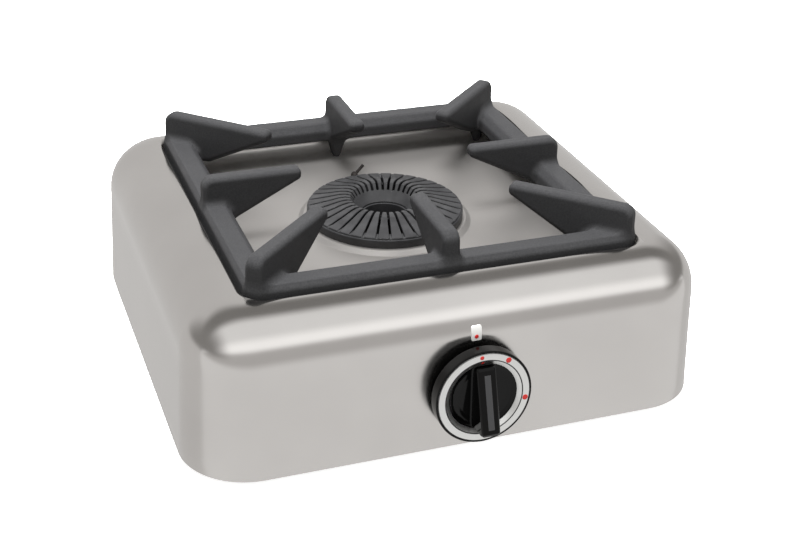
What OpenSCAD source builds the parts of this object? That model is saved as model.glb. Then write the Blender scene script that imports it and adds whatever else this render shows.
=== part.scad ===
// Single-burner tabletop gas stove: a pressed shell with a sunk well, a cast
// pan support, a slotted ring burner and a push-and-turn gas tap.
// Millimetres, +Z up. The origin is on the standing surface, under the middle
// of the shell; the front, with the knob, faces -Y.

/* [Shell] */
// Width of the shell at its lower edge
shell_w = 337; // [330:1:370]
// Depth of the shell at its lower edge
shell_d = 314.5; // [308:0.5:350]
// Height of the shell from its lower edge to its flat rim
shell_h = 103; // [98:1:112]
// Thickness of the pressed sheet
sheet_t = 1; // [0.8:0.1:1.5]
// Lean of the walls from upright, in degrees
draft = 2.7; // [1:0.1:4]
// Plan radius of the upright corners at the lower edge
corner_r = 43; // [40:1:50]
// Radius of the rolled edge between walls and rim
roll_r = 33; // [24:1:34]
// Width of the flange turned in at the foot of the walls
flange_w = 16; // [12:1:24]

/* [Well] */
// Place of the burner's axis in depth, from the shell's middle
burner_y = 0; // [-6:0.25:6]
// Depth of the well below the rim
well_depth = 23; // [20:0.5:28]
// Gap all round between the pan support and the wall of the well
well_gap = 1.5; // [1:0.1:3]
// Plan radius of the well's corners
well_corner_r = 13; // [11:0.5:18]
// Radius of the lip where the rim turns down into the well
lip_r = 3; // [2:0.5:4]
// Radius where the wall of the well meets its floor
floor_r = 8; // [4:0.5:9]
// Height of the raised collar under the burner
collar_h = 2.8; // [2:0.1:5]
// Outer radius of the collar's foot
collar_r = 58; // [56:0.5:60]
// Width of the collar's sloping side
collar_slope = 3.5; // [2:0.5:5]

/* [Pan support] */
// Width of the cast frame
grate_w = 252; // [244:1:260]
// Depth of the cast frame
grate_d = 246; // [238:1:252]
// Plan radius of the frame's corners
grate_corner_r = 11; // [8:0.5:11]
// Width of a frame bar at its base
bar_w = 20; // [17:1:24]
// Height of a frame bar
bar_h = 12.6; // [10:0.2:15]
// Width of the bevel on each side of a bar
bar_bevel = 5; // [3:0.5:7]
// Height of the legs under the frame
leg_h = 15; // [13:0.5:18]
// Height of the fingers' top edges above the frame
finger_rise = 17.7; // [14:0.1:22]
// Distance of a side finger's outer end from the frame's edge
finger_inset = 2; // [1:0.5:5]
// Thickness of a finger
finger_t = 11.5; // [8:0.5:13]
// Radius on a finger's top edges
finger_round = 3; // [1:0.5:3.5]
// Distance from the burner's axis to a side finger's tip
side_tip = 59; // [56:0.5:75]
// Distance from the burner's axis to a corner finger's tip
corner_tip = 88; // [80:0.5:100]
// Distance from the burner's axis to a corner finger's outer end
corner_end = 170; // [166:0.5:174]
// Depth of a finger's tip
tip_depth = 7; // [5:0.5:9]

/* [Burner] */
// Radius of the cap's slotted edge
cap_r = 51.6; // [50:0.1:52]
// Height of the cap's crest above its edge
cap_rise = 7; // [5:0.5:9]
// Radius of the cap's crest
crest_r = 25; // [23:0.5:32]
// Radius of the air opening through the burner
air_r = 15.7; // [14:0.1:17]
// Thickness of the cap's casting
cap_t = 2.6; // [2:0.1:3.5]
// Number of flame slots
slot_count = 36; // [24:1:40]
// Width of a flame slot
slot_w = 1.5; // [1:0.1:2]
// Radius of the burner's outer rim
rim_r = 52.4; // [52.4:0.1:54]
// Height of the rim above the collar
rim_h = 5.8; // [5:0.1:8]
// Radius of the burner's cup below the collar
cup_r = 44; // [43:0.5:45]
// Height of the cup below the collar
cup_h = 24; // [20:0.5:28]
// Wall of the cast burner
cast_t = 3; // [2.5:0.1:3.5]
// Outer radius of the mixing tube
tube_r = 10.5; // [9:0.5:11]
// Wall of the mixing tube
tube_t = 1.8; // [1.5:0.1:2.5]
// Distance from the burner's axis to the mixing tube's mouth
mouth_x = 118; // [105:1:122]
// Length of the air windows in the mixing tube
window_len = 10; // [7:0.5:11]

/* [Knob and tap] */
// Sideways place of the knob, from the shell's middle
knob_x = 5; // [-10:0.5:20]
// Height of the knob's axis above the standing surface
knob_z = 43.4; // [42:0.2:48]
// Radius of the knob's skirt
knob_r = 30.5; // [29:0.5:32]
// Gap between the wall and the skirt at rest
knob_gap = 4.6; // [4.5:0.1:6]
// Depth of the skirt
skirt_h = 8; // [7:0.5:10]
// How far the knob pushes in
push = 4; // [3:0.1:4.2]
// Depth of the dish in the knob's face
dish_depth = 3.2; // [2.8:0.1:3.4]
// How far the grip's lower end stands in front of the skirt
grip_rise = 13.5; // [10:0.5:16]
// Width of the grip
grip_w = 12.5; // [11:0.5:14]
// Radius of the tap's spindle
spindle_r = 4; // [3.5:0.1:4.2]
// Radius of the tap's threaded neck
neck_r = 8; // [7.8:0.1:9]
// Radius of the tap's body
tap_r = 13; // [12:0.5:15]
// Length of the tap's body behind the wall
tap_len = 50; // [48:0.5:56]
// Height of the index mark's lower edge above the knob's axis
mark_rise = 32; // [31:0.5:34]

/* [Gas line] */
// Outer radius of the gas pipes
pipe_r = 4; // [3:0.5:4]
// Bore radius of the gas pipes
pipe_bore_r = 3; // [2:0.2:3]
// Radius of the pipes' bends
bend_r = 16; // [14:1:24]
// Sideways place of the inlet, from the shell's middle
inlet_x = -86; // [-100:1:-76]
// Radius of the hose nozzle
hose_r = 4.75; // [4.5:0.05:6]
// How far the nozzle stands behind the shell's lower edge
hose_reach = 25.1; // [20:0.1:40]

/* [Underside] */
// Height of the shell's lower edge above the standing surface
foot_h = 5; // [4:0.5:8]
// Radius of a foot
foot_r = 11; // [9:0.5:13]
// Distance of a foot's centre from the sides of the shell
foot_inset = 34; // [30:1:40]
// Thickness of the base plate
base_t = 1; // [0.8:0.1:1.5]
// Gap between the base plate's edge and the shell's lower edge
base_gap = 5; // [3:1:6]

/* [Hidden] */
$fn = 96;
fit = 0.05;
seat = 0.3;
lap = 0.1;
lean = tan(draft);
base_screw_r = 1.5;
foot_screw_r = 2;
foot_head_r = 4;
rim_z = foot_h + shell_h;
floor_z = rim_z - well_depth;
collar_z = floor_z + collar_h;
well_w = grate_w + 2 * well_gap;
well_d = grate_d + 2 * well_gap;

// Pan support, measured from the floor of the well
bar_z = leg_h + bar_h;
finger_z = bar_z + finger_rise;
side_end = grate_w / 2 - finger_inset;
front_end = grate_d / 2 - finger_inset;
finger_slope = 0.505;
leg_foot = 6;

// Burner
collar_hole_r = cup_r + 1;
edge_z = collar_z + rim_h;
crest_z = edge_z + cap_rise;
cup_z = collar_z - cup_h;
funnel_r = crest_r - 3.5;
riser_x = (air_r + cup_r) / 2;
clamp_t = 2;
clamp_pcd_r = cup_r + 5.5;
clamp_count = 3;
clamp_screw_r = 1.5;

// Tap, measured outward from the outer face of the front wall
port_depth = 33;
port_y = tap_point(-port_depth).y;
port_z = tap_point(-port_depth).z;
boss_r = 7;
boss_len = 6;
neck_out = 3;
gland_t = 2.4;
chamber_r = neck_r - 1.4;
plug_top = -19;
plug_bottom = -43;
plug_top_r = 9;
plug_bottom_r = 7;
tang_in = 5;
tang_w = 3;
slot_len = tang_in + push + 0.5;
spindle_out = 16;
collar_t = 2.5;
magnet_len = 20;
magnet_r = 8;
magnet_tail_r = 4;
face_z = knob_gap + skirt_h;
dial_r = knob_r - 1.2;
dial_in_r = knob_r - 6;
dial_t = 0.8;
dish_r = dial_in_r - 3.2;
dish_z = face_z - dish_depth;
dish_rim_z = dish_z + 0.8;
knob_wall = 1.8;
inlay_w = 4;
grip_foot = dish_r - 1.4;
grip_top = face_z + grip_rise;
grip_low = face_z + grip_rise * 0.2;
grip_line = [[-grip_foot + 2, grip_top], [grip_foot - 1, grip_low]];

// Gas line
nut_len = 8;
nut_af = 14;
holder_len = 16;
holder_r = tube_r + 1.5;
holder_x = mouth_x + holder_len / 2;
injector_r = 3;
gallery_r = 2;
lock_af = 20;
lock_t = 5;
inlet_gap = lock_af / 2 * lean + 0.2;
barrel_r = 6;
barrel_in = 16;

// Thermocouple
probe_x = -1.2;
probe_y = burner_y + collar_r + 4.5;
probe_r = 2.5;
probe_tip_r = 1.1;
probe_lean = 43;
probe_tail = 12;
lead_r = 1.5;
lead_bend = 8;
lead_x = -58;
small_af = 11;

// ---- Helpers ----

// Outer face of the back wall at a height above the standing surface
function wall_y(z) = shell_d / 2 - (z - foot_h) * lean;

// A length to the nearest tenth of a millimetre
function tenth(x) = round(10 * x) / 10;

// A point on the tap's axis, measured outward from the outer face of the front wall
function tap_point(out) = [
  knob_x,
  tenth(-wall_y(knob_z) - out * cos(draft)),
  tenth(knob_z + out * sin(draft))
];

// Unit vector from one point to another
function aim(a, b) = (b - a) / norm(b - a);

// Angle through which a route turns at its middle point
function turn(a, b, c) = acos(aim(a, b) * aim(b, c));

// Straight length that the bend at point i takes up on each side
function taken(pts, i, r) =
  i == 0 || i == len(pts) - 1 ? 0 : r * tan(turn(pts[i - 1], pts[i], pts[i + 1]) / 2);

// The same route, made longer at both ends
function longer(pts, by) = let (last = len(pts) - 1) [
  for (i = [0 : last])
    i == 0 ? pts[0] - by * aim(pts[0], pts[1])
    : i == last ? pts[last] + by * aim(pts[last - 1], pts[last])
    : pts[i]
];

// A round rod from one point to another
module rod(a, b, r) {
  d = b - a;
  translate(a) rotate([0, acos(d.z / norm(d)), atan2(d.y, d.x)]) cylinder(r = r, h = norm(d));
}

// A quarter or other part of a ring that turns a rod at its corner
module bend(a, b, c, bend_r, r) {
  ahead = aim(a, b);
  angle = turn(a, b, c);
  side = aim(ahead * (ahead * aim(b, c)), aim(b, c));
  centre = b - ahead * bend_r * tan(angle / 2) + side * bend_r;
  up = cross(-side, ahead);
  multmatrix([
    [-side.x, ahead.x, up.x, centre.x],
    [-side.y, ahead.y, up.y, centre.y],
    [-side.z, ahead.z, up.z, centre.z],
    [0, 0, 0, 1]
  ])
    rotate_extrude(angle = angle) translate([bend_r, 0]) circle(r);
}

// A bent rod along corner points
module route(pts, bend_r, r) {
  for (i = [0 : len(pts) - 2]) {
    go = aim(pts[i], pts[i + 1]);
    rod(pts[i] + go * taken(pts, i, bend_r), pts[i + 1] - go * taken(pts, i + 1, bend_r), r);
  }
  for (i = [1 : len(pts) - 2])
    bend(pts[i - 1], pts[i], pts[i + 1], bend_r, r);
}

// A bent tube along corner points
module bent_tube(pts, bend_r, r, bore_r) {
  difference() {
    route(pts, bend_r, r);
    route(longer(pts, 1), bend_r, bore_r);
  }
}

// A hexagon by its size across the flats
module hex(af, h) {
  cylinder(r = af / 2 / cos(30), h = h, $fn = 6);
}

// A round washer or sleeve
module ring(r, bore_r, h) {
  difference() {
    cylinder(r = r, h = h);
    translate([0, 0, -1]) cylinder(r = bore_r, h = h + 2);
  }
}

// A flat plate with rounded corners
module rounded_plate(w, d, r, t) {
  linear_extrude(t) {
    square([w - 2 * r, d], center = true);
    square([w, d - 2 * r], center = true);
    for (sx = [-1, 1], sy = [-1, 1])
      translate([sx * (w / 2 - r), sy * (d / 2 - r)]) circle(r);
  }
}

// Carries a profile, drawn outward from a corner's centre, round a rectangle
module around(half_w, half_d, r) {
  cx = half_w - r;
  cy = half_d - r;
  corners = [[cx, cy], [-cx, cy], [-cx, -cy], [cx, -cy]];
  for (i = [0 : 3])
    translate(corners[i]) rotate(90 * i) rotate_extrude(angle = 90) children();
  for (i = [0 : 3]) {
    reach = i % 2 == 0 ? cx : cy;
    run = i % 2 == 0 ? cy : cx;
    rotate(90 * i) translate([reach, 0, 0]) rotate([90, 0, 0])
      linear_extrude(2 * run, center = true) children();
  }
}

// A slice of a disc, between two angles less than 180 apart
module slice(r, from, to) {
  far = 2 * r;
  mid = (from + to) / 2;
  intersection() {
    circle(r);
    polygon([
      [0, 0],
      far * [cos(from), sin(from)],
      2 * far * [cos(mid), sin(mid)],
      far * [cos(to), sin(to)]
    ]);
  }
}

// The tap's own frame: X to the right, Y up the front wall, Z straight out of it
module at_tap(z = 0) {
  translate([knob_x, -wall_y(knob_z), knob_z]) rotate([90 - draft, 0, 0])
    translate([0, 0, z]) children();
}

// The mixing tube's own frame: Z along the tube, out of its mouth
module at_mouth(z = 0) {
  translate([mouth_x, burner_y, port_z]) rotate([0, 90, 0]) translate([0, 0, z]) children();
}

// The inlet's own frame: Z straight backward, from the outer face of the back wall
module at_inlet(z = 0) {
  translate([inlet_x, wall_y(port_z), port_z]) rotate([-90, 0, 0]) translate([0, 0, z]) children();
}

// Copies a child at the four feet
module at_feet() {
  for (sx = [-1, 1], sy = [-1, 1])
    translate([sx * (shell_w / 2 - foot_inset), sy * (shell_d / 2 - foot_inset), 0]) children();
}

// Copies a child at the base plate's fixings, in the middle of the flange
module at_base_screws() {
  in = (base_gap + flange_w) / 2;
  for (s = [-1, 1], side = [-0.5, 0.5]) {
    translate([s * (shell_w / 2 - in), side * shell_d / 2, 0]) children();
    translate([side * shell_w / 2, s * (shell_d / 2 - in), 0]) children();
  }
}

// Copies a child at the burner's clamp screws
module at_clamp_screws() {
  for (i = [0 : clamp_count - 1])
    translate([0, burner_y, 0]) rotate(30 + 360 / clamp_count * i)
      translate([clamp_pcd_r, 0, 0]) children();
}

// ---- Shell and underside ----

// Filled section of the body at an inset from its outer face: wall, rolled edge and rim
module form_profile(inset) {
  r = roll_r - inset;
  roll_z = shell_h - roll_r;
  roll_x = corner_r - (roll_z + roll_r * sin(draft)) * lean - roll_r * cos(draft);
  face_x = corner_r - inset / cos(draft);
  top_z = roll_z + r * sin(draft) + lap;
  polygon([
    [0, inset],
    [face_x - inset * lean, inset],
    [face_x - top_z * lean, top_z],
    [roll_x, roll_z],
    [0, roll_z]
  ]);
  translate([roll_x, roll_z]) slice(r, draft, 90);
  translate([0, roll_z]) square([roll_x, r]);
}

// The body's outer form, or the form at an inset from it
module form(inset) {
  around(shell_w / 2, shell_d / 2, corner_r) form_profile(inset);
  translate([0, 0, inset]) linear_extrude(shell_h - 2 * inset)
    square([shell_w - 2 * corner_r, shell_d - 2 * corner_r], center = true);
}

// Filled section of the well, grown by a thickness: floor, turn, wall and flared lip
module well_profile(grow) {
  turn_x = well_corner_r - floor_r;
  turn_z = shell_h - well_depth + floor_r;
  lip_x = well_corner_r + lip_r;
  lip_z = shell_h - lip_r;
  translate([0, turn_z - floor_r - grow]) square([turn_x, floor_r + grow]);
  translate([turn_x, turn_z]) slice(floor_r + grow, 270, 360);
  translate([0, turn_z]) square([well_corner_r + grow, lip_z - turn_z]);
  difference() {
    translate([0, lip_z]) square([lip_x - lap, lip_r + 1]);
    translate([lip_x, lip_z]) circle(lip_r - grow);
  }
}

// The space of the well, or the same grown by the thickness of its sheet
module well_form(grow) {
  floor_h = shell_h - well_depth - grow;
  translate([0, burner_y, 0]) {
    around(well_w / 2, well_d / 2, well_corner_r) well_profile(grow);
    translate([0, 0, floor_h]) linear_extrude(shell_h + 1 - floor_h)
      square([well_w - 2 * well_corner_r, well_d - 2 * well_corner_r], center = true);
  }
}

// Section of the collar that carries the burner
module collar_profile() {
  steep = atan(collar_h / collar_slope);
  under = sheet_t * tan(steep / 2);
  polygon([
    [collar_hole_r, collar_h],
    [collar_r - collar_slope, collar_h],
    [collar_r, 0],
    [collar_r + 2, 0],
    [collar_r + 2, -sheet_t],
    [collar_r - under, -sheet_t],
    [collar_r - collar_slope - under, collar_h - sheet_t],
    [collar_hole_r, collar_h - sheet_t]
  ]);
}

// The sheet between the body's outer and inner forms, dipping into the well
module pressed_sheet() {
  difference() {
    form(0);
    difference() {
      form(sheet_t);
      well_form(sheet_t);
    }
    well_form(0);
    translate([0, 0, -1])
      rounded_plate(shell_w - 2 * flange_w, shell_d - 2 * flange_w, corner_r - flange_w, sheet_t + 2);
    translate([0, burner_y, -1]) cylinder(r = collar_r + 1, h = shell_h);
  }
}

module body_shell() {
  color("silver") difference() {
    translate([0, 0, foot_h]) {
      pressed_sheet();
      translate([0, burner_y, shell_h - well_depth]) rotate_extrude() collar_profile();
    }
    at_tap(-2 * sheet_t) cylinder(r = neck_r + 0.2, h = 4 * sheet_t);
    at_inlet(-5) cylinder(r = barrel_r + 0.3, h = 10);
    translate([probe_x, probe_y, floor_z - 5]) cylinder(r = probe_r + 0.2, h = 10);
    at_base_screws() translate([0, 0, foot_h - 1]) cylinder(r = base_screw_r + 0.1, h = 2 + sheet_t);
    at_clamp_screws() translate([0, 0, collar_z - 5]) cylinder(r = clamp_screw_r + 0.2, h = 10);
  }
}

module base_plate() {
  vent_w = 3.5;
  vent_len = 56;
  color("gainsboro") translate([0, 0, foot_h - base_t]) difference() {
    rounded_plate(shell_w - 2 * base_gap, shell_d - 2 * base_gap, corner_r - base_gap, base_t);
    for (i = [-3 : 3], side = [-1, 1])
      translate([side * 48, burner_y + 13 * i, -1]) linear_extrude(base_t + 2)
        square([vent_len, vent_w], center = true);
    translate([0, 0, -1]) {
      at_feet() cylinder(r = foot_screw_r + 0.1, h = base_t + 2);
      at_base_screws() cylinder(r = base_screw_r + 0.2, h = base_t + 2);
    }
  }
}

module base_screws() {
  head_r = 3;
  head_t = 1.5;
  tail = 3;
  low = foot_h - base_t;
  color("dimgray") at_base_screws() {
    translate([0, 0, low - head_t]) cylinder(r = head_r, h = head_t);
    translate([0, 0, low - 1]) cylinder(r = base_screw_r, h = base_t + sheet_t + tail + 1);
  }
}

module rubber_feet() {
  pad_h = foot_h - base_t;
  pocket_r = foot_head_r + 0.6;
  color("black") at_feet() difference() {
    rotate_extrude() polygon([
      [0, 0],
      [foot_r - 1.5, 0],
      [foot_r - 1, 0.5],
      [foot_r, pad_h - 0.8],
      [foot_r, pad_h],
      [0, pad_h]
    ]);
    translate([0, 0, -1]) cylinder(r = pocket_r, h = 3);
    translate([0, 0, -1]) cylinder(r = foot_screw_r + 0.1, h = foot_h + 2);
  }
}

module foot_screws() {
  head_t = 1.4;
  seat_z = 2;
  tail = 4;
  color("dimgray") at_feet() {
    translate([0, 0, seat_z - head_t]) cylinder(r = foot_head_r, h = head_t);
    translate([0, 0, seat_z - 1]) cylinder(r = foot_screw_r, h = foot_h + tail + 1 - seat_z);
  }
}

// Small white plate above the knob, to which the dial's dots are turned
module index_mark() {
  mark_w = 6.5;
  mark_h = 9.5;
  mark_r = 1.2;
  mark_t = 0.4;
  depth = 3;
  color("white") intersection() {
    at_tap(-depth) translate([-1, mark_rise + mark_h / 2, 0])
      rounded_plate(mark_w, mark_h, mark_r, 2 * depth);
    translate([0, 0, foot_h]) difference() {
      form(-mark_t);
      form(0);
    }
  }
}

// ---- Pan support ----

// A bar's outer side: a face and a bevel up to the flat top
function bar_side(half, sign) = [
  [sign * half, leg_h],
  [sign * half, leg_h + bar_h * 0.6],
  [sign * (half - bar_bevel * 0.25), leg_h + bar_h * 0.82],
  [sign * (half - bar_bevel), bar_z]
];

// A prism across the frame whose ends are the bars' outer sides
module frame_slab(half, run) {
  rotate([90, 0, 0]) linear_extrude(run, center = true)
    polygon(concat(bar_side(half, 1), [for (i = [3 : -1 : 0]) bar_side(half, -1)[i]]));
}

// A prism through the frame's window, wider at its top
module window_slab(half, run) {
  low = half - bar_w;
  high = low + bar_bevel;
  grow = (high - low) / bar_h;
  rotate([90, 0, 0]) linear_extrude(run, center = true) polygon([
    [-low + grow, leg_h - 1],
    [low - grow, leg_h - 1],
    [high + grow, bar_z + 1],
    [-high - grow, bar_z + 1]
  ]);
}

// The square frame: four mitred bars with bevelled sides
module grate_frame() {
  difference() {
    intersection() {
      frame_slab(grate_w / 2, grate_d);
      rotate(90) frame_slab(grate_d / 2, grate_w);
      translate([0, 0, leg_h]) rounded_plate(grate_w, grate_d, grate_corner_r, bar_h);
    }
    intersection() {
      window_slab(grate_w / 2, grate_d);
      rotate(90) window_slab(grate_d / 2, grate_w);
    }
  }
}

// Side view of a finger from its tip to its outer end, with its leg
module finger_profile(tip, end, leg) {
  end_round = 6;
  low = finger_z - tip_depth;
  slope_end = tip + (low - leg_h) / finger_slope;
  difference() {
    polygon([
      [tip, low + 2],
      [tip + 1.5, low],
      [min(slope_end, leg - leg_foot), leg_h],
      [leg - leg_foot, leg_h - 1],
      [leg - leg_foot / 2, 0],
      [leg + leg_foot / 2, 0],
      [leg + leg_foot, leg_h - 1],
      [end, leg_h],
      [end, finger_z],
      [tip + 4, finger_z],
      [tip + 1, finger_z - 2]
    ]);
    translate([end - end_round, finger_z - end_round]) difference() {
      square(end_round + 1);
      circle(end_round);
    }
  }
}

// End view of a finger: rounded top, slight draft, and a leg that narrows
module finger_section() {
  half = finger_t / 2;
  round_z = finger_z - finger_round;
  polygon([
    [-half * 0.5, 0],
    [half * 0.5, 0],
    [half * 1.15, leg_h],
    [half * 1.05, bar_z],
    [half * 0.94, round_z],
    [half * 0.94 - finger_round, round_z],
    [half * 0.94 - finger_round, finger_z],
    [-half * 0.94 + finger_round, finger_z],
    [-half * 0.94 + finger_round, round_z],
    [-half * 0.94, round_z],
    [-half * 1.05, bar_z],
    [-half * 1.15, leg_h]
  ]);
  for (s = [-1, 1])
    translate([s * (half * 0.94 - finger_round), round_z]) circle(finger_round);
}

// A finger that points at the burner along -X, with its leg
module finger(tip, end, leg) {
  intersection() {
    rotate([90, 0, 0]) linear_extrude(2 * finger_t, center = true) finger_profile(tip, end, leg);
    rotate([90, 0, 90]) linear_extrude(end + 1) finger_section();
  }
}

module pan_support() {
  diagonal = atan2(grate_d, grate_w);
  corner_leg = corner_end - 14;
  color([0.2, 0.2, 0.21]) translate([0, burner_y, floor_z]) {
    grate_frame();
    for (i = [0 : 1]) {
      rotate(180 * i) finger(side_tip, side_end, grate_w / 2 - bar_w / 2 - 3);
      rotate(90 + 180 * i) finger(side_tip, front_end, grate_d / 2 - bar_w / 2 - 3);
      rotate(diagonal + 180 * i) finger(corner_tip, corner_end, corner_leg);
      rotate(-diagonal + 180 * i) finger(corner_tip, corner_end, corner_leg);
    }
  }
}

// ---- Burner ----

// Section of the cap: outer edge, crest, funnel down to the air opening
module cap_profile() {
  slope_x = (cap_r + crest_r) / 2;
  slope_z = edge_z + cap_rise * 0.62;
  inner_z = crest_z - 3;
  low_z = collar_z + 1;
  polygon([
    [cap_r - 5.5, edge_z],
    [cap_r, edge_z],
    [cap_r - 0.3, edge_z + 0.9],
    [slope_x, slope_z],
    [crest_r + 6, crest_z - 0.6],
    [crest_r + 1.5, crest_z],
    [crest_r - 1.5, crest_z - 0.4],
    [funnel_r, inner_z],
    [air_r, low_z],
    [air_r + 2, low_z],
    [funnel_r + cap_t, inner_z - 1.6],
    [crest_r + 1.5, crest_z - cap_t],
    [slope_x, slope_z - cap_t],
    [cap_r - 5.5, edge_z + 0.2]
  ]);
}

module burner_cap() {
  lip_in = rim_r - cast_t - 0.4;
  color([0.16, 0.16, 0.17]) translate([0, burner_y, 0]) {
    difference() {
      rotate_extrude() cap_profile();
      for (i = [0 : slot_count - 1])
        rotate(360 / slot_count * (i + 0.5)) translate([funnel_r - 0.8, -slot_w / 2, edge_z + 0.8])
          cube([cap_r, slot_w, cap_rise + 2]);
    }
    translate([0, 0, edge_z - 2.5]) ring(lip_in, lip_in - 2, 2.5);
  }
}

// Cast cup with its outer rim, its air opening and the hole for the mixing tube
module burner_cup() {
  rim_in = rim_r - cast_t;
  tube_top = collar_z + 1 - seat;
  color([0.14, 0.14, 0.15]) translate([0, burner_y, 0]) difference() {
    rotate_extrude() polygon([
      [air_r - 1, cup_z],
      [cup_r, cup_z],
      [cup_r, collar_z],
      [rim_r, collar_z],
      [rim_r, edge_z],
      [rim_in, edge_z],
      [rim_in, collar_z + cast_t],
      [cup_r - cast_t, collar_z + cast_t],
      [cup_r - cast_t, cup_z + cast_t],
      [air_r + 2, cup_z + cast_t],
      [air_r + 2, tube_top],
      [air_r - 1, tube_top]
    ]);
    translate([riser_x, 0, cup_z - 1]) cylinder(r = tube_r + fit, h = cast_t + 2);
    translate([0, -burner_y, 0]) at_clamp_screws()
      translate([0, 0, collar_z - 1]) cylinder(r = clamp_screw_r + fit, h = cast_t + 0.3);
  }
}

module burner_clamp_ring() {
  color("gray") difference() {
    translate([0, burner_y, collar_z - sheet_t - clamp_t])
      ring(collar_r - collar_slope - 2, cup_r + 0.5, clamp_t);
    at_clamp_screws() translate([0, 0, collar_z - 10]) cylinder(r = clamp_screw_r + 0.2, h = 12);
  }
}

module burner_clamp_screws() {
  head_r = 2.8;
  head_t = 2;
  low = collar_z - sheet_t - clamp_t;
  color("dimgray") at_clamp_screws() {
    translate([0, 0, low - head_t]) cylinder(r = head_r, h = head_t);
    translate([0, 0, low - 1]) cylinder(r = clamp_screw_r, h = collar_z + cast_t - low);
  }
}

// Air windows in the tube and in its shutter, on two opposite sides
module air_windows() {
  at_mouth(-4 - window_len) for (s = [-1, 1])
    translate([-4, s > 0 ? 0 : -tube_r - 4, 0]) cube([8, tube_r + 4, window_len]);
}

module mixing_tube() {
  bend = tube_r + 3;
  flange_r = tube_r + 2.5;
  flange_t = 2;
  stop_r = tube_r + 1.2;
  path = [
    [mouth_x, burner_y, port_z],
    [riser_x, burner_y, port_z],
    [riser_x, burner_y, cup_z + cast_t]
  ];
  color([0.3, 0.3, 0.32]) difference() {
    union() {
      route(path, bend, tube_r);
      translate([riser_x, burner_y, cup_z - flange_t]) cylinder(r = flange_r, h = flange_t);
      at_mouth(-8 - window_len) cylinder(r = stop_r, h = 1.5);
    }
    route(longer(path, 1), bend, tube_r - tube_t);
    air_windows();
  }
}

// Sleeve round the tube's mouth that turns to close the air windows
module air_shutter() {
  low = -6 - window_len;
  sleeve_t = 1.4;
  tab = [7, 2, 8];
  color("goldenrod") difference() {
    at_mouth(low) {
      cylinder(r = tube_r + sleeve_t, h = -low - seat);
      translate([-tube_r - tab.x, -tab.y / 2, 1]) cube(tab);
    }
    at_mouth(low - 1) cylinder(r = tube_r + fit, h = window_len + 8);
    air_windows();
  }
}

// Brass block at the tube's mouth, with the port that the feed pipe enters
module injector_holder() {
  spigot_r = tube_r - tube_t - fit;
  color("goldenrod") difference() {
    union() {
      at_mouth(-3) cylinder(r = spigot_r, h = 4);
      at_mouth(0) cylinder(r = holder_r, h = holder_len);
      translate([holder_x, burner_y - holder_r - boss_len, port_z]) rotate([-90, 0, 0])
        cylinder(r = boss_r, h = holder_r + boss_len);
    }
    at_mouth(-4) cylinder(r = injector_r + fit, h = 7);
    at_mouth(0) cylinder(r = gallery_r, h = holder_len / 2 + gallery_r);
    translate([holder_x, burner_y - holder_r - boss_len - 1, port_z]) rotate([-90, 0, 0])
      cylinder(r = gallery_r + 0.4, h = holder_r + boss_len + 1);
  }
}

module injector() {
  shank_end = -3;
  head_af = 8;
  head_len = 4;
  nose_len = 2;
  gas_r = 0.5;
  nose = shank_end - head_len - nose_len;
  color("gold") difference() {
    union() {
      at_mouth(shank_end) cylinder(r = injector_r, h = 5);
      at_mouth(shank_end - head_len) hex(head_af, head_len);
      at_mouth(nose) cylinder(r1 = injector_r / 2, r2 = injector_r, h = nose_len);
    }
    at_mouth(nose + 1) cylinder(r = gallery_r, h = 11);
    at_mouth(nose - 1) cylinder(r = gas_r, h = 3);
  }
}

// ---- Tap and knob ----

module gas_tap_body() {
  color("darkgoldenrod") at_tap() difference() {
    union() {
      translate([0, 0, -tap_len]) cylinder(r = tap_r, h = tap_len - sheet_t);
      translate([0, 0, -sheet_t - 1]) cylinder(r = neck_r, h = neck_out + sheet_t + 1);
      translate([-tap_r - boss_len, 0, -port_depth]) rotate([0, 90, 0])
        cylinder(r = boss_r, h = 2 * (tap_r + boss_len));
    }
    translate([0, 0, -1]) cylinder(r = spindle_r + fit, h = neck_out + 2);
    translate([0, 0, plug_top]) cylinder(r = chamber_r, h = neck_out - gland_t - plug_top);
    translate([0, 0, plug_top - 0.1]) cylinder(r = plug_top_r, h = 4);
    translate([0, 0, plug_bottom]) cylinder(r1 = plug_bottom_r, r2 = plug_top_r, h = plug_top - plug_bottom);
    translate([0, 0, -tap_len - 1]) cylinder(r = 3.5, h = tap_len + plug_bottom + 2);
    translate([-tap_r - boss_len - 1, 0, -port_depth]) rotate([0, 90, 0])
      cylinder(r = pipe_bore_r, h = 2 * (tap_r + boss_len + 1));
  }
}

module tap_neck_nut() {
  color("lightgray") at_tap(0) difference() {
    hex(22, neck_out - 0.5);
    translate([0, 0, -1]) cylinder(r = neck_r + fit, h = neck_out + 2);
  }
}

// Tapered plug that turns in the tap and is closed at rest
module tap_plug() {
  color("goldenrod") at_tap() difference() {
    translate([0, 0, plug_bottom + 0.5]) cylinder(
      r1 = plug_bottom_r - fit,
      r2 = plug_top_r - fit,
      h = plug_top - plug_bottom - 0.5
    );
    translate([-plug_top_r, -tang_w / 2 - 0.15, plug_top - slot_len])
      cube([2 * plug_top_r, tang_w + 0.3, slot_len + 1]);
    translate([0, 0, -port_depth]) rotate([90, 0, 0])
      cylinder(r = pipe_bore_r - 0.5, h = 4 * plug_top_r, center = true);
  }
}

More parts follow.
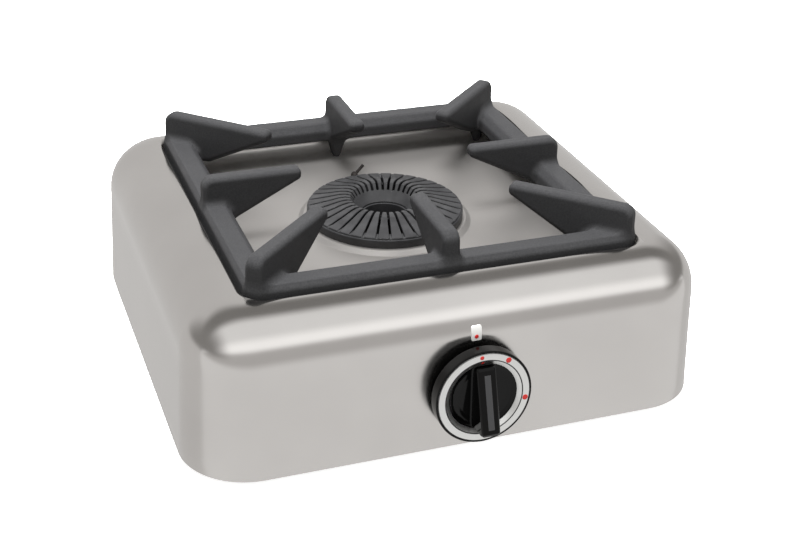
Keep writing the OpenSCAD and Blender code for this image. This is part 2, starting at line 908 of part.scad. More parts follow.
// Spring between the plug and the spindle's collar
module tap_spring() {
  turns = 5;
  wire = 0.6;
  steps = 16;
  sides = 6;
  mean_r = spindle_r + 0.5 + wire;
  low = plug_top + wire + 0.1;
  high = neck_out - gland_t - seat - collar_t - wire - 0.1;
  rings = turns * steps;
  points = [
    for (i = [0 : rings], j = [0 : sides - 1]) let (
      a = 360 * i / steps,
      b = 360 * j / sides,
      r = mean_r + wire * cos(b)
    ) [r * cos(a), r * sin(a), low + (high - low) * i / rings + wire * sin(b)]
  ];
  faces = concat(
    [[for (j = [0 : sides - 1]) j]],
    [for (i = [0 : rings - 1], j = [0 : sides - 1]) let (k = (j + 1) % sides)
      [i * sides + j, (i + 1) * sides + j, (i + 1) * sides + k, i * sides + k]],
    [[for (j = [sides - 1 : -1 : 0]) rings * sides + j]]
  );
  color("silver") at_tap() polyhedron(points, faces);
}

// The spindle's outer end, with the flat that turns the knob
module spindle_form(gap, out) {
  difference() {
    cylinder(r = spindle_r + gap, h = out);
    translate([-spindle_r - 1, spindle_r * 0.6 + gap, neck_out + push])
      cube([2 * spindle_r + 2, spindle_r, out]);
  }
}

// Spindle with its collar, its flat for the knob and its tang in the plug
module spindle() {
  collar_top = neck_out - gland_t - seat;
  shoulder = plug_top + push + 0.5;
  color("lightgray") at_tap() {
    spindle_form(0, spindle_out);
    translate([0, 0, shoulder]) cylinder(r = spindle_r, h = 1 - shoulder);
    translate([0, 0, collar_top - collar_t]) cylinder(r = chamber_r - seat, h = collar_t);
    intersection() {
      translate([-spindle_r, -tang_w / 2, plug_top - tang_in])
        cube([2 * spindle_r, tang_w, shoulder - plug_top + tang_in + 1]);
      translate([0, 0, plug_top - tang_in]) cylinder(r = spindle_r, h = push + 2 * tang_in);
    }
  }
}

module magnet_unit() {
  color("silver") at_tap(-tap_len - magnet_len) difference() {
    union() {
      cylinder(r = magnet_r, h = magnet_len);
      translate([0, 0, -5]) cylinder(r = magnet_tail_r, h = 6);
    }
    translate([0, 0, -6]) cylinder(r = lead_r + 0.3, h = 8);
  }
}

// Side view of the grip, along the wall (X) and out of it (Y)
module grip_profile() {
  polygon([
    [-grip_foot, dish_z - 0.5],
    [-grip_foot - 0.8, grip_top - 4],
    [-grip_foot, grip_top - 1.2],
    grip_line[0],
    grip_line[1],
    [grip_foot + 0.8, grip_low - 0.8],
    [grip_foot, dish_z - 0.5]
  ]);
}

// Carries a child to the grip's sloping front: Y up the slope, Z out of it
module on_grip() {
  translate([0, grip_line[0].x, grip_line[0].y])
    rotate([-atan2(grip_line[0].y - grip_line[1].y, grip_line[1].x - grip_line[0].x), 0, 0])
      children();
}

// A strip that lies in the grip's front
module grip_strip(w, in, t) {
  on_grip() translate([-w / 2, in, 0.1 - t])
    cube([w, norm(grip_line[1] - grip_line[0]) - 2 * in, t]);
}

// Moulded knob: skirt, dished face and grip, hollow behind
module knob() {
  color([0.08, 0.08, 0.09]) at_tap() difference() {
    union() {
      rotate_extrude() polygon([
        [0, dish_z - knob_wall],
        [knob_r - knob_wall - 2, dish_z - knob_wall],
        [knob_r - knob_wall, dish_z - knob_wall - 2],
        [knob_r - knob_wall, knob_gap],
        [knob_r, knob_gap],
        [knob_r, face_z - 0.5],
        [knob_r - 0.5, face_z],
        [dial_r, face_z],
        [dial_r, face_z - dial_t],
        [dial_in_r, face_z - dial_t],
        [dish_r, dish_rim_z],
        [dish_r - 2.5, dish_z + 0.25],
        [dish_r - 6, dish_z],
        [0, dish_z]
      ]);
      rotate([90, 0, 90]) linear_extrude(grip_w, center = true) grip_profile();
    }
    spindle_form(fit, spindle_out + 0.5);
    grip_strip(inlay_w, 2.5, 0.8);
  }
}

module grip_inlay() {
  color("gray") at_tap() grip_strip(inlay_w - 2 * fit, 2.5 + fit, 0.7);
}

// Bright trim: a flat ring with a slope down into the dish
module dial_ring() {
  color("lightgray") at_tap() rotate_extrude() polygon([
    [dial_r - fit, face_z - dial_t + fit],
    [dial_r - fit, face_z + 0.2],
    [dial_in_r, face_z + 0.2],
    [dish_r + 0.3, dish_rim_z + dial_t],
    [dish_r + 0.3, dish_rim_z + 0.2],
    [dial_in_r, face_z - dial_t + fit]
  ]);
}

// ---- Gas line ----

module feed_pipe() {
  start = knob_x + tap_r + boss_len;
  color("peru") bent_tube([
    [start, port_y, port_z],
    [holder_x, port_y, port_z],
    [holder_x, burner_y - holder_r - boss_len, port_z]
  ], bend_r, pipe_r, pipe_bore_r);
}

module supply_pipe() {
  start = knob_x - tap_r - boss_len;
  color("peru") bent_tube([
    [start, port_y, port_z],
    [inlet_x, port_y, port_z],
    [inlet_x, wall_y(port_z) - barrel_in, port_z]
  ], bend_r, pipe_r, pipe_bore_r);
}

// A compression nut round a pipe, from its seat along +Z
module pipe_nut() {
  difference() {
    hex(nut_af, nut_len);
    translate([0, 0, -1]) cylinder(r = pipe_r + fit, h = nut_len + 2);
  }
}

module pipe_nuts() {
  color("goldenrod") {
    translate([knob_x + tap_r + boss_len, port_y, port_z]) rotate([0, 90, 0]) pipe_nut();
    translate([knob_x - tap_r - boss_len, port_y, port_z]) rotate([0, -90, 0]) pipe_nut();
    translate([holder_x, burner_y - holder_r - boss_len, port_z]) rotate([90, 0, 0]) pipe_nut();
    translate([inlet_x, wall_y(port_z) - barrel_in, port_z]) rotate([90, 0, 0]) pipe_nut();
  }
}

module inlet_locknut() {
  color("goldenrod") at_inlet(-sheet_t - inlet_gap - lock_t) difference() {
    hex(lock_af, lock_t);
    translate([0, 0, -1]) cylinder(r = barrel_r + fit, h = lock_t + 2);
  }
}

// Hose nozzle: barrel through the wall, hexagon, plain land and barbs
module hose_nozzle() {
  reach = shell_d / 2 + hose_reach - wall_y(port_z);
  hex_end = inlet_gap + lock_t;
  land = 6;
  barb = 3.4;
  barbs = 3;
  barb_start = hex_end + land;
  color("gold") at_inlet() difference() {
    union() {
      translate([0, 0, -barrel_in]) cylinder(r = barrel_r, h = barrel_in + inlet_gap + 1);
      translate([0, 0, inlet_gap]) hex(lock_af, lock_t);
      translate([0, 0, hex_end - 1]) cylinder(r = hose_r, h = land + 1);
      translate([0, 0, hex_end]) cylinder(r = hose_r - 0.9, h = reach - hex_end);
      for (i = [0 : barbs - 1])
        translate([0, 0, barb_start + 0.8 + i * (barb + 0.2)])
          cylinder(r1 = hose_r, r2 = hose_r - 0.9, h = barb);
    }
    translate([0, 0, -barrel_in - 1]) cylinder(r = pipe_bore_r, h = barrel_in + reach + 2);
  }
}

// ---- Thermocouple ----

// Upright sheath through the well's floor, with a thin tip that leans over
module thermocouple_probe() {
  top = edge_z - 4;
  shoulder_r = probe_r + 1.3;
  shoulder_t = 1.2;
  tip_len = 9.5;
  color("gray") translate([probe_x, probe_y, 0]) {
    translate([0, 0, floor_z - probe_tail]) cylinder(r = probe_r, h = top - floor_z + probe_tail);
    translate([0, 0, floor_z]) cylinder(r = shoulder_r, h = shoulder_t);
    translate([0, 0, top]) sphere(r = probe_r);
    translate([0, 0, top]) rotate([0, probe_lean, 0]) cylinder(r = probe_tip_r, h = tip_len);
  }
}

module probe_nut() {
  nut_t = 4;
  color("goldenrod") translate([probe_x, probe_y, floor_z - sheet_t - 0.2 - nut_t]) difference() {
    hex(small_af, nut_t);
    translate([0, 0, -1]) cylinder(r = probe_r + fit, h = nut_t + 2);
  }
}

// Capillary from the magnet unit, beside the burner, to the probe
module thermocouple_lead() {
  start = tap_point(-tap_len - magnet_len - 6);
  corner = start + [0, 14, 0];
  color("peru") route([
    start,
    corner,
    [lead_x, corner.y, corner.z],
    [lead_x, probe_y, corner.z],
    [probe_x, probe_y, corner.z],
    [probe_x, probe_y, floor_z - probe_tail]
  ], lead_bend, lead_r);
}

module thermocouple_nut() {
  nut_t = 7;
  web = 2.5;
  color("goldenrod") at_tap(-tap_len - magnet_len - nut_t - 1) difference() {
    hex(small_af, nut_t);
    translate([0, 0, -1]) cylinder(r = lead_r + 0.2, h = web + 1.5);
    translate([0, 0, web]) cylinder(r = magnet_tail_r + fit, h = nut_t);
  }
}

body_shell();
base_plate();
base_screws();
rubber_feet();
foot_screws();
index_mark();
pan_support();
burner_cap();
burner_cup();
burner_clamp_ring();
burner_clamp_screws();
mixing_tube();
air_shutter();
injector();
injector_holder();
gas_tap_body();
tap_neck_nut();
tap_plug();
tap_spring();
spindle();
magnet_unit();
knob();
dial_ring();
grip_inlay();
feed_pipe();
supply_pipe();
pipe_nuts();
inlet_locknut();
hose_nozzle();
thermocouple_probe();
probe_nut();
thermocouple_lead();
thermocouple_nut();
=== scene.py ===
"""A single-burner tabletop gas stove, dressed over its CAD frame.

Metres in Blender, millimetres in the sizes below. +Z is up, and the front, with the knob, faces -Y.
"""

import itertools
import math

import bpy
import numpy as np
from mathutils import Matrix, Vector


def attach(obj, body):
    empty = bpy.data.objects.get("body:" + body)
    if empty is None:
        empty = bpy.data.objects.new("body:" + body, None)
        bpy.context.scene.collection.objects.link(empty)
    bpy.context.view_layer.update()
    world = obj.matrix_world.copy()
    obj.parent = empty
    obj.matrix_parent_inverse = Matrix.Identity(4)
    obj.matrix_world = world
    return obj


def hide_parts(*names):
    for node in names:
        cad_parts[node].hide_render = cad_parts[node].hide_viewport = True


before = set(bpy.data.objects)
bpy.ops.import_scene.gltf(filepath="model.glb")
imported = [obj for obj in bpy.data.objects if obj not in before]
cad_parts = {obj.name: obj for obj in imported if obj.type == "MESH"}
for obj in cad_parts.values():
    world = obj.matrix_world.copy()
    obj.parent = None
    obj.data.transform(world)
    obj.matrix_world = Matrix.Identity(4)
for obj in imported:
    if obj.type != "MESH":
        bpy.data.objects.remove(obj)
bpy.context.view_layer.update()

MM = 0.001

# ---- Sizes, in millimetres, as the frame has them ----

SHELL_W = 337.0
SHELL_D = 314.5
SHELL_H = 103.0
FOOT_H = 5.0
SHEET = 1.0
DRAFT = math.radians(2.7)
CORNER_R = 43.0
ROLL_R = 33.0
FLANGE_W = 16.0

BURNER_Y = 0.0
WELL_DEPTH = 23.0
WELL_GAP = 1.5
WELL_CORNER_R = 13.0
LIP_R = 3.0
FLOOR_R = 8.0
COLLAR_H = 2.8
COLLAR_R = 58.0
COLLAR_SLOPE = 3.5

GRATE_W = 252.0
GRATE_D = 246.0
GRATE_CORNER_R = 11.0
BAR_W = 20.0
BAR_H = 12.6
BAR_BEVEL = 5.0
LEG_H = 15.0
LEG_T = 5.8
FINGER_RISE = 17.7
FINGER_T = 11.5
FINGER_INSET = 2.0
FINGER_FOOT = 6.0
FINGER_EDGE_R = 3.2
FINGER_FILLET = 4.5
SIDE_TIP = 59.0
CORNER_TIP = 88.0
CORNER_END = 170.0
CORNER_LEG_IN = 14.0
TIP_DEPTH = 7.0
FINGER_SLOPE = 0.505

CAP_R = 51.6
CAP_RISE = 7.0
CREST_R = 25.0
AIR_R = 15.7
CAP_T = 2.6
SLOT_COUNT = 36
SLOT_W = 1.5
SLOT_EDGE_R = 0.45
RIM_R = 52.4
RIM_H = 5.8
CUP_R = 44.0
CUP_H = 24.0
CAST_T = 3.0

KNOB_X = 5.0
KNOB_Z = 43.4
KNOB_R = 30.5
KNOB_GAP = 4.6
SKIRT_H = 8.0
DISH_DEPTH = 3.2
GRIP_RISE = 13.5
GRIP_W = 12.5
GRIP_EDGE_R = 1.9
GRIP_FILLET = 1.6
MARK_RISE = 32.0

RIM_Z = FOOT_H + SHELL_H
FLOOR_Z = RIM_Z - WELL_DEPTH
COLLAR_Z = FLOOR_Z + COLLAR_H
EDGE_Z = COLLAR_Z + RIM_H
CREST_Z = EDGE_Z + CAP_RISE
LEAN = math.tan(DRAFT)

# Grid steps of the rounded solids
GRATE_STEP = 1.25
FINE_STEP = 0.5


def wall_y(z):
    """Depth of the outer face of the back wall at a height above the table."""
    return SHELL_D / 2 - (z - FOOT_H) * LEAN


# ---- Mesh tools ----

def piece(name, points, faces, finish, body="stove", normals=None, smooth=True):
    """An object from points in millimetres, riding on a body of the frame."""
    mesh = bpy.data.meshes.new(name)
    mesh.from_pydata((np.asarray(points, float) * MM).tolist(), [], [list(map(int, f)) for f in faces])
    mesh.validate(clean_customdata=False)
    mesh.polygons.foreach_set("use_smooth", [smooth] * len(mesh.polygons))
    if normals is not None:
        mesh.normals_split_custom_set_from_vertices(np.asarray(normals, float).tolist())
    mesh.materials.append(finish)
    made = bpy.data.objects.new(name, mesh)
    bpy.context.scene.collection.objects.link(made)
    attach(made, body)
    return made


def ring_faces(rows, around, first=0):
    """Quads between successive closed rows of points."""
    faces = []
    for row, k in itertools.product(range(rows - 1), range(around)):
        a = first + row * around + k
        b = first + row * around + (k + 1) % around
        faces.append((a, b, b + around, a + around))
    return faces


def closed_ring_faces(rows, around):
    """Quads round a body whose last row joins its first."""
    faces = ring_faces(rows, around)
    last = (rows - 1) * around
    faces += [(last + k, last + (k + 1) % around, (k + 1) % around, k) for k in range(around)]
    return faces


def rounded(profile, radius, steps=5):
    """A closed outline with each corner rounded, by at most half of its shorter side."""
    result = []
    count = len(profile)
    for i, corner in enumerate(profile):
        here = np.array(corner[:2], float)
        before = np.array(profile[i - 1][:2], float) - here
        after = np.array(profile[(i + 1) % count][:2], float) - here
        size = corner[2] if len(corner) > 2 else radius
        la, lb = np.linalg.norm(before), np.linalg.norm(after)
        before, after = before / la, after / lb
        half = math.acos(max(-1.0, min(1.0, float(before @ after)))) / 2
        back = min(size / max(math.tan(half), 1e-6), 0.49 * la, 0.49 * lb)
        if size <= 0 or half > math.radians(88.5):
            result.append(tuple(here))
            continue
        size = back * math.tan(half)
        centre = here + (before + after) / np.linalg.norm(before + after) * size / math.sin(half)
        start, end = here + before * back - centre, here + after * back - centre
        sweep = math.atan2(start[0] * end[1] - start[1] * end[0], float(start @ end))
        for k in range(steps + 1):
            turn = sweep * k / steps
            c, s = math.cos(turn), math.sin(turn)
            result.append(tuple(centre + (start[0] * c - start[1] * s, start[0] * s + start[1] * c)))
    return result


def lathe(profile, around=160):
    """A body turned round the Z axis from a closed outline of (radius, height)."""
    angle = np.arange(around) * 2 * math.pi / around
    rows = [np.stack([r * np.cos(angle), r * np.sin(angle), np.full(around, z)], 1) for r, z in profile]
    return np.concatenate(rows), closed_ring_faces(len(profile), around)


def shifted(points, by):
    """Points moved by a distance along each axis."""
    return np.asarray(points) + np.array(by, float)


# The tap's own frame: X to the right, Y up the front wall, Z straight out of it
TAP_X = np.array([1.0, 0.0, 0.0])
TAP_Y = np.array([0.0, math.sin(DRAFT), math.cos(DRAFT)])
TAP_Z = np.array([0.0, -math.cos(DRAFT), math.sin(DRAFT)])
TAP_ORIGIN = np.array([KNOB_X, -wall_y(KNOB_Z), KNOB_Z])


def at_tap(points):
    """Points of the tap's own frame in the stove's."""
    points = np.asarray(points, float)
    return TAP_ORIGIN + points[:, :1] * TAP_X + points[:, 1:2] * TAP_Y + points[:, 2:3] * TAP_Z


# ---- Rounded solids from distance fields ----

def polygon_distance(u, v, outline):
    """Signed distance to a closed outline, negative inside."""
    nearest = np.full(u.shape, 1e9)
    inside = np.ones(u.shape)
    count = len(outline)
    for i in range(count):
        a, b = np.array(outline[i], float), np.array(outline[i - 1], float)
        edge = b - a
        du, dv = u - a[0], v - a[1]
        t = np.clip((du * edge[0] + dv * edge[1]) / (edge @ edge), 0, 1)
        nearest = np.minimum(nearest, (du - t * edge[0]) ** 2 + (dv - t * edge[1]) ** 2)
        above = v >= a[1]
        below = v < b[1]
        left = edge[0] * dv > edge[1] * du
        flip = (above & below & left) | (~above & ~below & ~left)
        inside = np.where(flip, -inside, inside)
    return np.sqrt(nearest) * inside


def rounded_cut(a, b, radius):
    """Where both fields are inside, with the edge between them rounded."""
    a, b = a + radius, b + radius
    outside = np.hypot(np.maximum(a, 0), np.maximum(b, 0))
    return np.minimum(np.maximum(a, b), 0) + outside - radius


def blended(a, b, fillet):
    """Where either field is inside, with a fillet in the corner between them."""
    h = np.maximum(fillet - np.abs(a - b), 0) / fillet
    return np.minimum(a, b) - h * h * fillet / 4


def skin_of(field, low, high, step):
    """Points, faces and normals of the surface where a distance field is zero.

    One point for each grid cell that the surface crosses, moved onto the surface along the
    field's slope.
    """
    low = np.array(low, float)
    axes = [low[i] + step * np.arange(int(math.ceil((high[i] - low[i]) / step)) + 1) for i in range(3)]
    inside = field(*np.meshgrid(*axes, indexing="ij")) < 0
    nx, ny, nz = (n - 1 for n in inside.shape)
    corners = sum(
        inside[i:nx + i, j:ny + j, k:nz + k].astype(np.int8)
        for i, j, k in itertools.product((0, 1), repeat=3)
    )
    crossed = (corners > 0) & (corners < 8)
    number = np.full(crossed.shape, -1)
    number[crossed] = np.arange(crossed.sum())
    points = low + (np.argwhere(crossed) + 0.5) * step
    reach = 0.02
    normals = None
    for _ in range(5):
        value = field(*points.T)
        slope = np.stack([
            field(*(points + reach * axis).T) - field(*(points - reach * axis).T)
            for axis in np.eye(3)
        ], 1) / (2 * reach)
        length = np.maximum(np.linalg.norm(slope, axis=1, keepdims=True), 0.3)
        normals = slope / length
        move = value[:, None] * slope / length ** 2
        points = points - np.clip(move, -0.5 * step, 0.5 * step)
    faces = []
    for axis in range(3):
        first = np.moveaxis(inside, axis, 0)
        cells = np.moveaxis(number, axis, 0)
        edge = first[1:, 1:-1, 1:-1] != first[:-1, 1:-1, 1:-1]
        leaving = first[:-1, 1:-1, 1:-1][edge]
        i, j, k = np.nonzero(edge)
        quads = np.stack([cells[i, j, k], cells[i, j + 1, k], cells[i, j + 1, k + 1], cells[i, j, k + 1]], 1)
        if axis == 1:
            leaving = ~leaving
        quads[~leaving] = quads[~leaving][:, ::-1]
        faces.append(quads)
    return points, np.concatenate(faces), normals


# ---- Finishes ----

def linear(hex_colour, alpha=1.0):
    """A linear colour from an sRGB hex value."""
    channels = [int(hex_colour[i:i + 2], 16) / 255 for i in (1, 3, 5)]
    return [c / 12.92 if c <= 0.04045 else ((c + 0.055) / 1.055) ** 2.4 for c in channels] + [alpha]


def add(tree, kind, inputs=None, **settings):
    """A node with its settings, and its inputs set to values or linked to other nodes' outputs."""
    node = tree.nodes.new(kind)
    for key, value in settings.items():
        setattr(node, key, value)
    for key, value in (inputs or {}).items():
        if isinstance(value, bpy.types.NodeSocket):
            tree.links.new(value, node.inputs[key])
        else:
            node.inputs[key].default_value = value
    return node


def new_finish(name, colour, metallic, roughness, **sockets):
    """A material whose shader has these constants, and its tree, shader and position output."""
    made = bpy.data.materials.new(name)
    made.use_nodes = True
    tree = made.node_tree
    shader = tree.nodes["Principled BSDF"]
    shader.inputs["Base Color"].default_value = linear(colour)
    shader.inputs["Metallic"].default_value = metallic
    shader.inputs["Roughness"].default_value = roughness
    for key, value in sockets.items():
        shader.inputs[key].default_value = value
    place = add(tree, "ShaderNodeTexCoord").outputs["Object"]
    return made, tree, shader, place


def noise(tree, place, size_mm, detail=2.0, rough=0.5, stretch=(1, 1, 1)):
    """A noise pattern whose features are about a size across, drawn out along an axis by a stretch."""
    scaled = add(tree, "ShaderNodeMapping", {
        "Vector": place,
        "Scale": tuple(1 / (MM * size_mm * s) for s in stretch),
    })
    return add(tree, "ShaderNodeTexNoise", {
        "Vector": scaled.outputs["Vector"], "Scale": 1.0, "Detail": detail, "Roughness": rough,
    }).outputs["Fac"]


def between(tree, value, low, high, at=(0.0, 1.0), soft=False):
    """A pattern's value carried from one range to another, with soft ends if wanted."""
    return add(tree, "ShaderNodeMapRange", {
        "Value": value, "From Min": at[0], "From Max": at[1], "To Min": low, "To Max": high,
    }, interpolation_type="SMOOTHSTEP" if soft else "LINEAR").outputs["Result"]


def colour_between(tree, value, dark, light, at=(0.0, 1.0)):
    """A colour picked between two by a pattern."""
    amount = between(tree, value, 0.0, 1.0, at)
    mixed = add(tree, "ShaderNodeMix", data_type="RGBA")
    tree.links.new(amount, mixed.inputs[0])
    mixed.inputs[6].default_value = linear(dark)
    mixed.inputs[7].default_value = linear(light)
    return mixed.outputs[2]


def bump(tree, shader, height, depth_mm, strength=1.0):
    """Relief of a depth from a pattern."""
    made = add(tree, "ShaderNodeBump", {"Height": height, "Distance": depth_mm * MM, "Strength": strength})
    tree.links.new(made.outputs["Normal"], shader.inputs["Normal"])


def satin_stainless():
    """Stainless sheet: polished on its drawn rolls, brushed on the walls, dull in the well."""
    made, tree, shader, place = new_finish("satin_stainless", "#CDCAC7", 1.0, 0.2)
    # hair lines of the brushing, drawn coarser than the real 0.1 mm so that they show
    hair = noise(tree, place, 0.4, detail=3, stretch=(110, 1, 1))
    cloud = noise(tree, place, 60, detail=3)
    colour = colour_between(tree, cloud, "#CAC7C4", "#D0CDCA", (0.3, 0.7))
    tree.links.new(colour, shader.inputs["Base Color"])
    # inside the well: how far past its edges, and how much duller and greyer there
    size = add(tree, "ShaderNodeVectorMath", {0: place}, operation="ABSOLUTE").outputs[0]
    half = ((GRATE_W / 2 + WELL_GAP) * MM, (GRATE_D / 2 + WELL_GAP) * MM, 0)
    past = add(tree, "ShaderNodeVectorMath", {0: size, 1: half}, operation="SUBTRACT").outputs[0]
    axes = add(tree, "ShaderNodeSeparateXYZ", {0: past}).outputs
    edge = add(tree, "ShaderNodeMath", {0: axes["X"], 1: axes["Y"]}, operation="MAXIMUM").outputs[0]
    tree.links.new(between(tree, edge, 0.94, 1.0, (-2 * MM, 0.5 * MM)), shader.inputs["Metallic"])
    dull = between(tree, edge, 0.36, 0.0, (-2 * MM, 0.5 * MM))
    # the walls below the rolled edge keep their coarser brushing
    height = add(tree, "ShaderNodeSeparateXYZ", {0: place}).outputs["Z"]
    wall = between(tree, height, 0.07, 0.0, (62 * MM, 84 * MM), soft=True)
    mixed = add(tree, "ShaderNodeMath", {0: hair, 1: cloud}, operation="ADD").outputs[0]
    rough = between(tree, mixed, 0.14, 0.19, (0.6, 1.4))
    for more in (dull, wall):
        rough = add(tree, "ShaderNodeMath", {0: rough, 1: more}, operation="ADD").outputs[0]
    tree.links.new(rough, shader.inputs["Roughness"])
    bump(tree, shader, hair, 0.002, 0.4)
    return made


def cast_iron():
    """Cast iron under matt black enamel: fine sandy grain and a dull, patchy surface."""
    made, tree, shader, place = new_finish("matt_enamelled_cast_iron", "#2A2A2B", 0.0, 0.62)
    shader.inputs["IOR"].default_value = 1.5
    shader.inputs["Specular IOR Level"].default_value = 0.3
    grain = noise(tree, place, 0.9, detail=4, rough=0.7)
    patch = noise(tree, place, 25, detail=3)
    colour = colour_between(tree, grain, "#222223", "#323233", (0.3, 0.7))
    tree.links.new(colour, shader.inputs["Base Color"])
    tree.links.new(between(tree, patch, 0.52, 0.68, (0.3, 0.7)), shader.inputs["Roughness"])
    bump(tree, shader, grain, 0.10, 0.5)
    return made


def burner_enamel():
    """Dark enamel on a casting: smoother than the pan support, with a soft shine."""
    made, tree, shader, place = new_finish("satin_burner_enamel", "#232324", 0.0, 0.38)
    shader.inputs["IOR"].default_value = 1.52
    grain = noise(tree, place, 0.6, detail=3, rough=0.6)
    cloud = noise(tree, place, 9, detail=2)
    colour = colour_between(tree, cloud, "#1E1E1F", "#29292A", (0.3, 0.7))
    tree.links.new(colour, shader.inputs["Base Color"])
    tree.links.new(between(tree, grain, 0.33, 0.46, (0.3, 0.7)), shader.inputs["Roughness"])
    bump(tree, shader, grain, 0.03, 0.5)
    return made


def glossy_black():
    """Polished black ABS or nylon: a clear shine with the faintest flow of the moulding."""
    made, tree, shader, place = new_finish("glossy_black_abs", "#030303", 0.0, 0.08)
    shader.inputs["IOR"].default_value = 1.54
    shader.inputs["Specular IOR Level"].default_value = 0.18
    flow = noise(tree, place, 6, detail=2)
    tree.links.new(between(tree, flow, 0.05, 0.12, (0.3, 0.7)), shader.inputs["Roughness"])
    bump(tree, shader, flow, 0.02, 0.3)
    return made


def satin_silver():
    """Silver foil on the dial: fine specks, softly bright."""
    made, tree, shader, place = new_finish("turned_silver_foil", "#DEDEDC", 1.0, 0.34)
    speck = noise(tree, place, 0.8, detail=3)
    tree.links.new(between(tree, speck, 0.28, 0.40, (0.3, 0.7)), shader.inputs["Roughness"])
    bump(tree, shader, speck, 0.004, 0.4)
    return made


def printed(name, colour, rough=0.35):
    """Screen-printed ink: flat, with a slightly uneven gloss."""
    made, tree, shader, place = new_finish(name, colour, 0.0, rough)
    speck = noise(tree, place, 1.5, detail=2)
    tree.links.new(between(tree, speck, rough - 0.05, rough + 0.08, (0.3, 0.7)), shader.inputs["Roughness"])
    return made


def plated(name, light, dark, rough, metallic=1.0, grain_mm=2.0):
    """Plain metal, turned or plated: small clouds of tone and a soft scratchy shine."""
    made, tree, shader, place = new_finish(name, light, metallic, rough)
    cloud = noise(tree, place, 8 * grain_mm, detail=3)
    grain = noise(tree, place, grain_mm, detail=3)
    tree.links.new(colour_between(tree, cloud, dark, light, (0.3, 0.7)), shader.inputs["Base Color"])
    tree.links.new(between(tree, grain, rough - 0.06, rough + 0.08, (0.3, 0.7)), shader.inputs["Roughness"])
    bump(tree, shader, grain, 0.02, 0.4)
    return made


def moulded_rubber():
    """Black rubber: matt, with a fine bloom."""
    made, tree, shader, place = new_finish("moulded_black_rubber", "#161616", 0.0, 0.75)
    bloom = noise(tree, place, 3, detail=4)
    tree.links.new(colour_between(tree, bloom, "#131313", "#1E1E1D", (0.3, 0.7)), shader.inputs["Base Color"])
    bump(tree, shader, bloom, 0.03, 0.5)
    return made


STAINLESS = satin_stainless()
IRON = cast_iron()
ENAMEL = burner_enamel()
BLACK = glossy_black()
SILVER = satin_silver()
# red ink for the printed dots; the same red also paints a reflection of the off dot on the dial's slope
RED_INK_AND_PAINTED_REFLECTION = printed("red_ink_and_painted_reflection", "#C8251F")
# a flat black for the thin lines laid at the edges of the dial ring's flat
DIAL_LINE_BLACK = printed("dial_line_black", "#0E0E10")
WHITE_INK = printed("white_ink", "#D9D8D5")
GREY_STRIP = printed("grey_strip", "#2F2F30", 0.45)
ZINC = plated("zinc_plated_steel", "#A9A9A6", "#8E8E8B", 0.36)
SCREW = plated("zinc_plated_screw", "#9A9A98", "#7D7D7B", 0.32, grain_mm=1.0)
BRIGHT_STEEL = plated("bright_drawn_steel", "#C4C3C0", "#A8A7A4", 0.24, grain_mm=1.0)
DARK_STEEL = plated("heat_darkened_steel", "#4A4644", "#302E2D", 0.40, metallic=0.8, grain_mm=1.0)
ALUMINIUM = plated("die_cast_aluminium", "#B4B4B2", "#9B9B99", 0.44)
BRASS = plated("turned_brass", "#D9B25F", "#C29A48", 0.26, grain_mm=1.2)
COPPER = plated("drawn_copper", "#D58E63", "#B8744C", 0.28, grain_mm=1.5)
RUBBER = moulded_rubber()

# The finish of each node of the frame
CARRIED = {
    "base_plate": ZINC, "base_screws": SCREW, "foot_screws": SCREW, "burner_clamp_ring": ZINC,
    "burner_clamp_screws": SCREW, "mixing_tube": ALUMINIUM, "air_shutter": BRASS, "injector": BRASS,
    "injector_holder": BRASS, "gas_tap_body": BRASS, "tap_neck_nut": SCREW, "tap_plug": BRASS,
    "tap_spring": BRIGHT_STEEL, "spindle": BRIGHT_STEEL, "magnet_unit": ZINC, "feed_pipe": COPPER,
    "supply_pipe": COPPER, "pipe_nuts": BRASS, "inlet_locknut": BRASS, "hose_nozzle": BRASS,
    "probe_nut": BRASS, "thermocouple_lead": COPPER, "thermocouple_nut": BRASS,
    "body_shell": STAINLESS, "rubber_feet": RUBBER, "index_mark": WHITE_INK, "pan_support": IRON,
    "burner_cap": ENAMEL, "burner_cup": ENAMEL, "knob": BLACK, "dial_ring": SILVER,
    "grip_inlay": GREY_STRIP, "thermocouple_probe": DARK_STEEL,
}
for node_name, finish in CARRIED.items():
    node_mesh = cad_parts[node_name].data
    node_mesh.materials.clear()
    node_mesh.materials.append(finish)


# ---- Pressed shell ----

CORNER_STEPS = 24
SIDE_STEPS = 24


def plan_ring(half_w, half_d, radius, z, centre_y=0.0):
    """Points round a rounded rectangle, in the same order and number at any size."""
    points = []
    for quarter in range(4):
        sx, sy = ((1, 1), (-1, 1), (-1, -1), (1, -1))[quarter]
        cx, cy = sx * (half_w - radius), sy * (half_d - radius)
        for k in range(CORNER_STEPS):
            a = math.pi / 2 * (quarter + k / CORNER_STEPS)
            points.append((cx + radius * math.cos(a), cy + radius * math.sin(a)))
        nsx, nsy = ((-1, 1), (-1, -1), (1, -1), (1, 1))[quarter]
        a = math.pi / 2 * (quarter + 1)
        start = np.array((cx + radius * math.cos(a), cy + radius * math.sin(a)))
        end = np.array((nsx * (half_w - radius) + radius * math.cos(a),
                        nsy * (half_d - radius) + radius * math.sin(a)))
        points += [tuple(start + (end - start) * k / SIDE_STEPS) for k in range(SIDE_STEPS)]
    return [(x, y + centre_y, z) for x, y in points]


def form_height(x, y):
    """Height of the body's outer form over a point of its plan, above its lower edge."""
    roll_z = SHELL_H - ROLL_R
    top_z = roll_z + ROLL_R * math.sin(DRAFT)
    edge = top_z * LEAN
    qx = abs(x) - (SHELL_W / 2 - CORNER_R)
    qy = abs(y) - (SHELL_D / 2 - CORNER_R)
    out = math.hypot(max(qx, 0), max(qy, 0)) + min(max(qx, qy), 0) - CORNER_R
    start = -edge - ROLL_R * math.cos(DRAFT)
    across = max(0.0, out - start)
    return roll_z + math.sqrt(max(ROLL_R ** 2 - across ** 2, 0.0))


